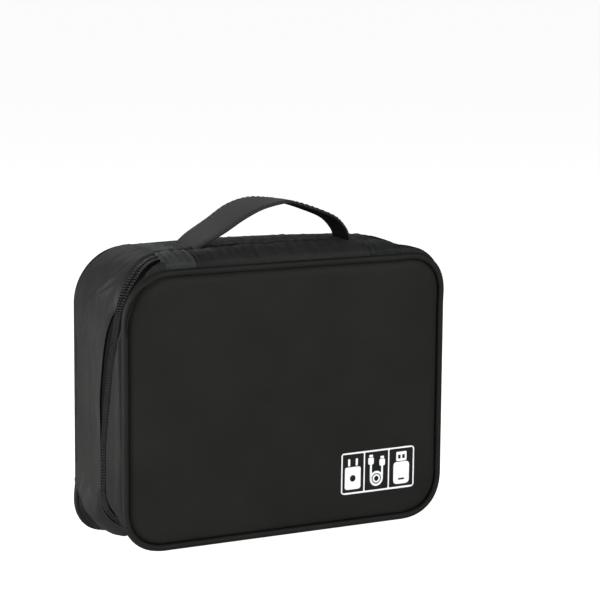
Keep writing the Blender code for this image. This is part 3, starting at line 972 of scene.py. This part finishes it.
def strapPoint(share, y, deep):
    # a point on the strap: share along it, y across it, deep under its outer face
    at = share * (len(strapLine) - 1)
    index = min(len(strapLine) - 2, int(at))
    point = strapLine[index].lerp(strapLine[index + 1], at - index)
    ahead = strapLine[min(len(strapLine) - 1, index + 2)] - strapLine[max(0, index - 1)]
    outward = Vector((-ahead.z, 0, ahead.x)).normalized()
    tilt = follow(strapShape["tilt"], share) * y / follow(strapShape["width"], share)
    return point - outward * deep + Vector((0, y, tilt)), outward, ahead.normalized()


def makeStrap():
    shape = strapShape
    total = sum((strapLine[i + 1] - strapLine[i]).length for i in range(len(strapLine) - 1))

    def outerFace(u, v):
        width = follow(shape["width"], u)
        y = (v - 0.5) * width
        fromEdge = width / 2 - abs(y)
        deep = sinkAt(fromEdge, shape["edgeDrop"], shape["edgeReach"])
        deep -= shape["crown"] * math.cos(math.pi * (v - 0.5))
        x = strapPoint(u, 0, 0)[0].x
        pucker = ease((x - shape["puckerFrom"]) / 0.006) * ease((shape["puckerTo"] - x) / 0.006)
        pucker *= shape["pucker"] * (1 - ease(fromEdge / 0.003))
        deep -= pucker * math.sin(2 * math.pi * u * total / shape["puckerPitch"])
        deep += unevenness((u * total, y), *shape["swell"])
        return strapPoint(u, y, deep)[0], (u * total, y)

    def innerFace(u, v):
        y = (v - 0.5) * (follow(shape["width"], u) - 0.0016)
        return strapPoint(u, y, shape["outer"] + shape["gap"])[0], (u * total, y)

    def below(point):
        return point - (point - Vector((0.002, point.y, 0.185))).normalized() * 0.01

    outer = layGrid("carryStrap", 150, 14, outerFace, below)
    giveThickness(outer, shape["outer"])
    roundEdges(outer, shape["edgeRound"], 2, 50)
    finishPiece(outer, strapWebbing, None, ["carry_strap"])
    backing = layGrid("strapBacking", 110, 8, innerFace, below)
    giveThickness(backing, shape["backing"])
    finishPiece(backing, strapFelt, None, ["strap_backing"])
    stitch = makeStitch(shape["stitch"] * 0.8, shape["thread"])
    places = []
    for edge in (-1, 1):
        for index in range(int(total * 0.92 / shape["stitch"])):
            share = 0.04 + index * shape["stitch"] / total
            y = edge * (follow(shape["width"], share) / 2 - shape["stitchInset"])
            point, outward, along = strapPoint(share, y, -0.0001)
            places.append(placeOn(point, along, outward))
    seam = repeatAlong("strapStitching", stitch, places)
    bpy.data.objects.remove(stitch)
    finishPiece(seam, threadBlack, None, [])
    for piece in (outer, backing, seam):
        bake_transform(piece)


def makeStitch(length, thick):
    # one stitch: a short thread that dips into the cloth at both ends
    clearSelection()
    bpy.ops.mesh.primitive_cylinder_add(vertices=6, radius=thick / 2, depth=length,
                                        end_fill_type="NGON", rotation=(0, math.pi / 2, 0))
    stitch = bpy.context.object
    bpy.ops.object.transform_apply(location=False, rotation=True, scale=False)
    selectEdges(stitch, lambda edge, start, end: abs(start.x - end.x) > length / 2)
    bpy.ops.mesh.subdivide(number_cuts=2)
    bpy.ops.object.mode_set(mode="OBJECT")
    for vertex in stitch.data.vertices:
        if abs(vertex.co.x) > length * 0.4:
            vertex.co.z -= thick * 0.6
            vertex.co.y *= 0.6
    return stitch


makeStrap()
print("strap made")


# label: plain pictograms printed on the lid
labelLow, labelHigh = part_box("front_label")
labelShape = {
    "line": 0.0009, "cells": (0.0587, 0.0783), "corner": 0.0022, "innerCorner": 0.0010,
    "lift": 0.00028, "film": 0.00022,
    "step": 0.0016,         # outlines are cut this short, so that the film follows the panel
}
# boxes are half width, low and high edge and corner; circles are height and size; all from the
# label's bottom, middle or top
chargerShape = {"body": (0.0062, 0.0032, 0.0042, 0.0014), "light": (0.0036, 0.0023),
                "pinGap": 0.0030, "pin": (0.0008, 0.0048, 0.0042, 0.0007)}
cableShape = {"loopHeight": 0.0056, "rings": ((0.0052, 0.0037), (0.0029, 0.0018)), "tailGap": 0.0045,
              "plugTops": ((-1, 0.0030), (1, 0.0046)), "tail": (0.0007, 0.0052, 0.0060, 0.0004),
              "plug": (0.0022, 0.0066, 0.0020, 0.0009), "prong": (0.0014, 0.0017, 0.0, 0.0003)}
stickShape = {"body": (0.0064, 0.0030, 0.0040, 0.0024), "slit": (0.0026, 0.0056, 0.0068, 0.0005),
              "cap": (0.0042, 0.0047, 0.0032, 0.0007), "hole": (0.0006, 0.0028, 0.0062, 0.0052, 0.0003)}


def roundedBox(left, bottom, right, top, corner, steps=4):
    points = []
    middles = ((right - corner, top - corner, 0), (left + corner, top - corner, 90),
               (left + corner, bottom + corner, 180), (right - corner, bottom + corner, 270))
    for cx, cz, turn in middles:
        for step in range(steps + 1):
            angle = math.radians(turn + 90 * step / steps)
            points.append((cx + corner * math.cos(angle), cz + corner * math.sin(angle)))
    return points


def circle(cx, cz, size, steps=28):
    turns = [2 * math.pi * i / steps for i in range(steps)]
    return [(cx + size * math.cos(turn), cz + size * math.sin(turn)) for turn in turns]


def inkShape(loops):
    # a flat filled outline with holes, made a mesh
    curve = bpy.data.curves.new("ink", "CURVE")
    curve.dimensions = "2D"
    curve.fill_mode = "BOTH"
    for corners in loops:
        loop = []
        for (x, z), (nextX, nextZ) in zip(corners, corners[1:] + corners[:1]):
            count = max(1, round(math.hypot(nextX - x, nextZ - z) / labelShape["step"]))
            loop += [(x + (nextX - x) * i / count, z + (nextZ - z) * i / count) for i in range(count)]
        spline = curve.splines.new("POLY")
        spline.points.add(len(loop) - 1)
        for point, (x, z) in zip(spline.points, loop):
            point.co = (x, z, 0, 1)
        spline.use_cyclic_u = True
    shape = bpy.data.objects.new("ink", curve)
    bpy.context.scene.collection.objects.link(shape)
    selectOnly(shape)
    bpy.ops.object.convert(target="MESH")
    return bpy.context.object


def drawFrame(left, bottom, right, top):
    shape = labelShape
    line, (first, second) = shape["line"], shape["cells"]
    loops = [roundedBox(left, bottom, right, top, shape["corner"])]
    for cellLeft, cellRight in ((left + line, first - line / 2), (first + line / 2, second - line / 2),
                                (second + line / 2, right - line)):
        loops.append(roundedBox(cellLeft, bottom + line, cellRight, top - line, shape["innerCorner"]))
    return [loops]


def drawCharger(x, bottom, middle, top):
    # a body with a round light and two pins
    half, low, high, corner = chargerShape["body"]
    lightLow, lightSize = chargerShape["light"]
    inks = [[roundedBox(x - half, bottom + low, x + half, middle + high, corner),
             circle(x, middle - lightLow, lightSize)]]
    half, low, high, corner = chargerShape["pin"]
    for side in (-1, 1):
        pin = x + side * chargerShape["pinGap"]
        inks.append([roundedBox(pin - half, middle + low, pin + half, top - high, corner)])
    return inks


def drawCable(x, middle, top):
    # a ring with two tails that end in plugs
    loop = middle - cableShape["loopHeight"]
    inks = [[circle(x, loop, outer), circle(x, loop, inner)] for outer, inner in cableShape["rings"]]
    for side, below in cableShape["plugTops"]:
        tail, plugTop = x + side * cableShape["tailGap"], top - below
        for part, start in (("tail", middle), ("plug", plugTop), ("prong", plugTop)):
            half, low, high, corner = cableShape[part]
            inks.append([roundedBox(tail - half, start - low, tail + half, plugTop - high, corner)])
    return inks


def drawStick(x, bottom, middle, top):
    # a body with a slit and a capped end with two holes
    half, low, high, corner = stickShape["body"]
    slitHalf, slitLow, slitHigh, slitCorner = stickShape["slit"]
    inks = [[roundedBox(x - half, bottom + low, x + half, middle + high, corner),
             roundedBox(x - slitHalf, bottom + slitLow, x + slitHalf, bottom + slitHigh, slitCorner)]]
    half, low, high, corner = stickShape["cap"]
    near, far, holeLow, holeHigh, holeCorner = stickShape["hole"]
    cap = [roundedBox(x - half, middle + low, x + half, top - high, corner)]
    for left, right in ((-far, -near), (near, far)):
        cap.append(roundedBox(x + left, middle + holeLow, x + right, top - holeHigh, holeCorner))
    return inks + [cap]


def makeLabel():
    shape = labelShape
    left, right, bottom, top = labelLow.x, labelHigh.x, labelLow.z, labelHigh.z
    first, second = shape["cells"]
    middle = (bottom + top) / 2
    inks = drawFrame(left, bottom, right, top) + drawCharger((left + first) / 2, bottom, middle, top)
    inks += drawCable((first + second) / 2, middle, top)
    inks += drawStick((second + right) / 2, bottom, middle, top)
    shapes = [inkShape(loops) for loops in inks]
    clearSelection()
    for ink in shapes:
        ink.select_set(True)
    bpy.context.view_layer.objects.active = shapes[0]
    bpy.ops.object.join()
    label = bpy.context.object
    label.name = "frontLabel"
    label.data.name = "frontLabel"
    for vertex in label.data.vertices:
        x, z = vertex.co.x, vertex.co.y
        vertex.co = (x, frontSurface(x, z) - shape["lift"], z)
    work = bmesh.new()
    work.from_mesh(label.data)
    bmesh.ops.remove_doubles(work, verts=work.verts, dist=sameSpot)
    for face in work.faces:
        if face.normal.y > 0:
            face.normal_flip()
    work.to_mesh(label.data)
    work.free()
    giveThickness(label, shape["film"])
    finishPiece(label, whitePrint, "lid", ["front_label"], 30)


makeLabel()
print("label made")


# inside of the lid
lidInside = {
    "liningInset": 0.0050, "liningY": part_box("lid_lining")[1].y, "thickness": 0.0008,
    "sideOut": -0.0047, "sideEdge": 0.0012, "sideThickness": 0.0007,
    "bindingInset": 0.0064, "bindingRadius": 0.0013, "bindingDepth": 0.0014,
    "nap": (0.035, 0.0005, 6.1), "sideNap": (0.02, 0.0003, 8.8),
}


def insideAxis(point):
    # inner faces look towards the case's middle line
    return point + (point - caseAxis(point))


def makeLidInside():
    shape = lidInside

    def liningDepth(x, z, fromEdge):
        return shape["liningY"] + unevenness((x, z), *shape["nap"]) * min(1, fromEdge / 0.01)

    lining = layDisc("lidLining", 200, 30, shape["liningInset"], liningDepth, shape["thickness"], 1)
    finishPiece(lining, brushedLining, "lid", ["lid_lining"])

    def sideProfile(distance, v):
        back = follow(zipShape["line"], distance) - zipShape["rowHalf"] + shape["sideEdge"]
        y = shape["liningY"] + 0.0003 + (back - shape["liningY"] - 0.0003) * v
        return y, shape["sideOut"] + unevenness((distance, y), *shape["sideNap"])

    side = layStrip("lidSideLining", 360, 10, sideProfile, shape["sideThickness"], 0, perimeter,
                    insideAxis)
    finishPiece(side, brushedLining, "lid", ["lid_side_lining"])
    binding = layTube("lidBinding", 290, 10, shape["liningY"] + shape["bindingDepth"],
                      shape["bindingInset"], shape["bindingRadius"])
    finishPiece(binding, grosgrain, "lid", ["lid_binding"])


organizerShape = {
    "columns": 5, "half": 0.1080, "sewn": 0.0012, "sewnY": -0.0314,
    "bandLow": 0.047, "bandHigh": 0.069, "bandBow": 0.0062, "bandThickness": 0.0009,
    "hemLow": 0.116, "hemHigh": 0.125, "hemBow": 0.0060, "hemThickness": 0.0012,
    "pocketTop": 0.1735, "pocketBow": 0.0058, "netThickness": 0.0005, "netTuck": 0.0006,
    # gathers: how deep and how close
    "bandGather": (0.0004, 2600), "hemGather": (0.0005, 3100), "netGather": (0.0005, 900),
    "tapeHalf": 0.0022, "tapeThickness": 0.0009,
}


def loopDepth(across):
    # the elastic stands away from the lining between the seams
    shape = organizerShape
    width = 2 * shape["half"] / shape["columns"]
    share = ((across + shape["half"]) / width) % 1
    edge = shape["sewn"] / width
    share = min(1, max(0, (share - edge) / (1 - 2 * edge)))
    return math.sin(math.pi * share) ** 0.8


def organizerStrip(name, low, high, depthAt, thickness, columns, rows):
    half = organizerShape["half"]
    # cloth coordinates run along the gathered length, not across the gap
    steps = 400
    runs = [0.0]
    middle = (low + high) / 2
    for index in range(steps):
        x0, x1 = -half + 2 * half * index / steps, -half + 2 * half * (index + 1) / steps
        runs.append(runs[-1] + math.hypot(x1 - x0, depthAt(x1, middle) - depthAt(x0, middle)))

    def place(u, v):
        x = half * (2 * u - 1)
        z = low + (high - low) * v
        run = runs[min(steps, round(u * steps))]
        return Vector((x, depthAt(x, z), z)), (run, z)

    piece = layGrid(name, columns, rows, place, lambda p: p - Vector((0, 1, 0)))
    giveThickness(piece, thickness)
    return piece, runs[-1]


def makeOrganizer():
    shape = organizerShape

    def band(x, z):
        gather, closeness = shape["bandGather"]
        return shape["sewnY"] + (shape["bandBow"] + gather * math.sin(x * closeness)) * loopDepth(x)

    loops, _ = organizerStrip("cableBand", shape["bandLow"], shape["bandHigh"], band,
                              shape["bandThickness"], 360, 8)
    finishPiece(loops, knittedElastic, "lid", ["cable_band"])

    def hem(x, z):
        gather, closeness = shape["hemGather"]
        bow = shape["hemBow"] + gather * math.sin(x * closeness)
        return shape["sewnY"] + 0.0001 + bow * loopDepth(x)

    edge, _ = organizerStrip("pocketHem", shape["hemLow"], shape["hemHigh"], hem,
                             shape["hemThickness"], 320, 6)
    finishPiece(edge, knittedElastic, "lid", ["pocket_hem"])

    def net(x, z):
        slack = 1 - ease((z - shape["hemHigh"]) / (shape["pocketTop"] - shape["hemHigh"]))
        gather, closeness = shape["netGather"]
        bow = (shape["pocketBow"] + gather * math.sin(x * closeness + 30 * z)) * slack
        return shape["sewnY"] + 0.0002 + bow * loopDepth(x)

    netLow = shape["hemHigh"] - shape["netTuck"]
    pocket, length = organizerStrip("meshPockets", netLow, shape["pocketTop"], net,
                                    shape["netThickness"], 260, 26)
    finishPiece(pocket, pocketNet, "lid", ["mesh_pockets"])
    width = 2 * shape["half"] / shape["columns"]
    for index in range(1, shape["columns"]):
        x = -shape["half"] + index * width
        low = (x - shape["tapeHalf"], shape["sewnY"] + 0.0006, shape["hemLow"] - 0.0005)
        high = (x + shape["tapeHalf"], low[1] + shape["tapeThickness"], shape["pocketTop"] + 0.0015)
        tape = padBlock(f"columnTape{index}", low, high, 0.0003, 0.0, 2)
        finishPiece(tape, grosgrain, "lid", [f"column_tape_{index}"])


def metricCoordinates(piece):
    # cloth coordinates in metres, laid on each face from the side it faces
    layer = piece.data.uv_layers[0] if piece.data.uv_layers else piece.data.uv_layers.new()
    layer.name = "surface"
    for face in piece.data.polygons:
        axis = max(range(3), key=lambda i: abs(face.normal[i]))
        first, second = [i for i in range(3) if i != axis]
        for index in face.loop_indices:
            spot = piece.data.vertices[piece.data.loops[index].vertex_index].co
            layer.data[index].uv = (spot[first], spot[second])


def padBlock(name, low, high, rounding, puff, cuts, wave=0.0):
    # a padded board: rounded edges, faces that swell a little between them
    low, high = Vector(low), Vector(high)
    size, middle = high - low, (high + low) / 2
    clearSelection()
    bpy.ops.mesh.primitive_cube_add(size=1, location=middle)
    piece = bpy.context.object
    piece.name = name
    piece.data.name = name
    piece.scale = size
    bpy.ops.object.transform_apply(location=True, rotation=False, scale=True)
    roundEdges(piece, rounding)
    bpy.ops.object.mode_set(mode="EDIT")
    bpy.ops.mesh.select_all(action="SELECT")
    bpy.ops.mesh.subdivide(number_cuts=cuts)
    bpy.ops.mesh.normals_make_consistent(inside=False)
    bpy.ops.object.mode_set(mode="OBJECT")
    metricCoordinates(piece)
    thin = min(range(3), key=lambda i: size[i])
    others = [i for i in range(3) if i != thin]
    for vertex in piece.data.vertices:
        near = 1.0
        for axis in others:
            fromEdge = size[axis] / 2 - abs(vertex.co[axis] - middle[axis])
            near *= ease(fromEdge / 0.012)
        side = (vertex.co[thin] - middle[thin]) / (size[thin] / 2)
        vertex.co[thin] += puff * side * near
        if wave:
            vertex.co[thin] += wave * noise.noise(Vector(vertex.co) / 0.05) * near
    return piece


# inside of the base
baseInside = {
    "liningOut": -0.0078, "edgeOut": -0.0044, "behindWall": 0.0012, "turnIn": 0.0055,
    "floorY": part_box("base_floor_lining")[0].y, "floorInset": 0.0080, "thickness": 0.0008,
    "wallNap": (0.03, 0.0005, 2.9), "floorNap": (0.04, 0.0004, 4.3),
    "foamFrom": 0.0065, "foamBack": 0.0320, "foamOut": -0.0038, "foamThickness": 0.0032,
}
hingeStrip = {
    "half": 0.0870, "front": -0.0190, "width": 0.0110, "out": -0.0050, "fall": 0.0026,
    "dip": 0.0006, "thickness": 0.0007,
}


def makeBaseInside():
    shape = baseInside

    def liningProfile(distance, v):
        front = follow(zipShape["wallEdge"], distance) + shape["behindWall"]
        y = front + (shape["floorY"] + 0.0002 - front) * v
        turned = ease((y - front) / shape["turnIn"])
        out = shape["edgeOut"] + (shape["liningOut"] - shape["edgeOut"]) * turned
        return y, out + unevenness((distance, y * 1.5), *shape["wallNap"]) * ease((y - front) / 0.01)

    lining = layStrip("baseWallLining", 420, 36, liningProfile, shape["thickness"], 0, perimeter,
                      insideAxis)
    finishPiece(lining, greigeLining, "base", ["base_wall_lining"])

    def floorDepth(x, z, fromEdge):
        return shape["floorY"] + unevenness((x, z), *shape["floorNap"])

    floor = layDisc("baseFloorLining", 160, 24, shape["floorInset"], floorDepth, shape["thickness"], -1)
    finishPiece(floor, greigeLining, "base", ["base_floor_lining"])

    def foamProfile(distance, v):
        front = follow(zipShape["wallEdge"], distance) + shape["foamFrom"]
        return front + (shape["foamBack"] - front) * v, shape["foamOut"]

    foam = layStrip("baseWallFoam", 300, 8, foamProfile, shape["foamThickness"], 0, perimeter)
    finishPiece(foam, evaFoam, "base", ["base_wall_foam"])

    strip = hingeStrip

    def hingeProfile(distance, v):
        out = strip["out"] - strip["fall"] * ease(v) - strip["dip"] * bump(v - 0.45, 0.25)
        return strip["front"] + strip["width"] * v, out

    hinge = layStrip("hingeLining", 110, 10, hingeProfile, strip["thickness"], -strip["half"],
                     strip["half"], insideAxis)
    finishPiece(hinge, brushedLining, None, ["hinge_lining"])
    bendWithLid(hinge)


dividerShape = {
    "rounding": 0.0019, "puff": 0.0006, "wave": 0.0012, "cuts": 9, "tabRounding": 0.0004,
    "rise": 0.0061,
    "crush": {"left": 0.0012, "right": 0.0030, "cross": 0.0012},    # how much lower each top stays
}


def raisedBox(divider, tab=""):
    # the soft case stands a little above its frame, and its dividers rise with it
    low, high = (Vector(corner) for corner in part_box(f"divider_{divider}{tab}"))
    for corner in (low, high):
        corner.z += dividerShape["rise"] - dividerShape["crush"][divider] * ease(corner.z / height)
    return low, high


def makeDividers():
    shape = dividerShape
    for name in ("left", "right", "cross"):
        low, high = raisedBox(name)
        body = f"divider_{name}"
        board = padBlock(f"divider{name.title()}", low, high, shape["rounding"], shape["puff"],
                         shape["cuts"], shape["wave"] if name != "cross" else 0)
        finishPiece(board, greigeLining, body, [body])
        tabs = ("left", "right") if name == "cross" else ("bottom", "top")
        for tab in tabs:
            low, high = raisedBox(name, f"_tab_{tab}")
            hooks = padBlock(f"divider{name.title()}Tab{tab.title()}", low, high,
                             shape["tabRounding"], 0, 3)
            finishPiece(hooks, hookBlack, body, [f"{body}_tab_{tab}"])


makeLidInside()
makeOrganizer()
makeBaseInside()
makeDividers()
print("inside made")


# zip sliders and pulls
sliderEdges = {"body": 0.0004, "pull": 0.0003}


def softCopy(name, node, width):
    # the frame's own solid with its doubles merged and its edges rounded
    copy = bpy.data.objects.new(name, nodes[node].data.copy())
    bpy.context.scene.collection.objects.link(copy)
    selectOnly(copy)
    bpy.ops.object.mode_set(mode="EDIT")
    bpy.ops.mesh.select_all(action="SELECT")
    bpy.ops.mesh.remove_doubles(threshold=0.000005)
    bpy.ops.mesh.dissolve_limited(angle_limit=math.radians(2))
    bpy.ops.mesh.normals_make_consistent(inside=False)
    bpy.ops.object.mode_set(mode="OBJECT")
    if width:
        roundEdges(copy, width, 3, 35)
    return copy


def makeSliders():
    for letter in "ab":
        upper = letter.upper()
        for name, node, body, width in (
                (f"slider{upper}", f"slider_{letter}", f"slider_{letter}", sliderEdges["body"]),
                (f"slider{upper}Bridge", f"slider_{letter}_bridge", f"slider_{letter}", 0),
                (f"pull{upper}", f"pull_{letter}", f"pull_{letter}", sliderEdges["pull"])):
            finishPiece(softCopy(name, node, width), zincBlack, body, [node])


makeSliders()
print("sliders made")


# stage
stageShape = {
    "floorSize": 60, "floorGap": 0.0003, "floorGlow": 0.95, "aim": (0, 0, 0.1),
    # the sky's strength low down and overhead, and how far from level each is reached
    "skyLow": 0.12, "skyHigh": 0.46, "skyTurn": 0.3,
    # each light's place, size and watts
    "lights": {
        "keyLight": ((-1.6, 0.05, 0.45), 0.9, 31.0),
        "fillLight": ((0.6, -1.6, 0.95), 1.2, 11.5),
        "lowLight": ((-0.1, -0.8, 0.06), 0.5, 0.8),
        "sideLight": ((0.75, -0.75, 0.60), 0.4, 1.6),
        "rimLight": ((0.2, 1.4, 1.3), 1.0, 3.5),
    },
}
cameraShape = {
    "place": (-0.7973, -1.3697, 0.3878), "turn": -30.144, "down": 9.941, "roll": 0.299,
    "lens": 144.03, "sensor": 36, "shift": (0.0693, 0.1185),
}


def makeFloor():
    shape = stageShape
    clearSelection()
    bpy.ops.mesh.primitive_plane_add(size=shape["floorSize"],
                                     location=(0, 0, caseShape["bottomLine"][0][1] - shape["floorGap"]))
    floor = bpy.context.object
    floor.name = "studioFloor"
    material, shader = startMaterial("paintedFloor", 0.9, 0.0)
    shader.inputs["Base Color"].default_value = (0.8, 0.8, 0.8, 1)
    shader.inputs["Emission Color"].default_value = (1, 1, 1, 1)
    shader.inputs["Emission Strength"].default_value = shape["floorGlow"]
    floor.data.materials.append(material)
    floor.visible_glossy = False        # the white sweep must not shine on the case's underside


def makeSky():
    # bright overhead, dim below the case
    shape = stageShape
    world = bpy.data.worlds.new("studio")
    world.use_nodes = True
    place = addNode(world, "ShaderNodeTexCoord").outputs["Generated"]
    up = addNode(world, "ShaderNodeSeparateXYZ", {0: place})
    level = addNode(world, "ShaderNodeMapRange", {
        "Value": up.outputs[2], "From Min": -shape["skyTurn"], "From Max": shape["skyTurn"],
        "To Min": shape["skyLow"], "To Max": shape["skyHigh"]})
    world.node_tree.links.new(level.outputs[0], world.node_tree.nodes["Background"].inputs[1])
    bpy.context.scene.world = world


def makeLights():
    aim = Vector(stageShape["aim"])
    for name, (place, size, power) in stageShape["lights"].items():
        data = bpy.data.lights.new(name, "AREA")
        data.shape = "DISK"
        data.size = size
        data.energy = power
        light = bpy.data.objects.new(name, data)
        bpy.context.scene.collection.objects.link(light)
        light.location = place
        light.rotation_euler = (aim - Vector(place)).to_track_quat("-Z", "Y").to_euler()


def makeCamera():
    shape = cameraShape
    data = bpy.data.cameras.new("camera")
    data.sensor_width = shape["sensor"]
    data.lens = shape["lens"]
    data.shift_x, data.shift_y = shape["shift"]
    camera = bpy.data.objects.new("camera", data)
    bpy.context.scene.collection.objects.link(camera)
    turn = Matrix.Rotation(math.radians(shape["turn"]), 4, "Z")
    tip = Matrix.Rotation(math.radians(90 - shape["down"]), 4, "X")
    roll = Matrix.Rotation(math.radians(shape["roll"]), 4, "Z")
    camera.matrix_world = Matrix.Translation(shape["place"]) @ turn @ tip @ roll
    bpy.context.scene.camera = camera


makeFloor()
makeSky()
makeLights()
makeCamera()
bpy.context.scene.view_settings.view_transform = "Standard"
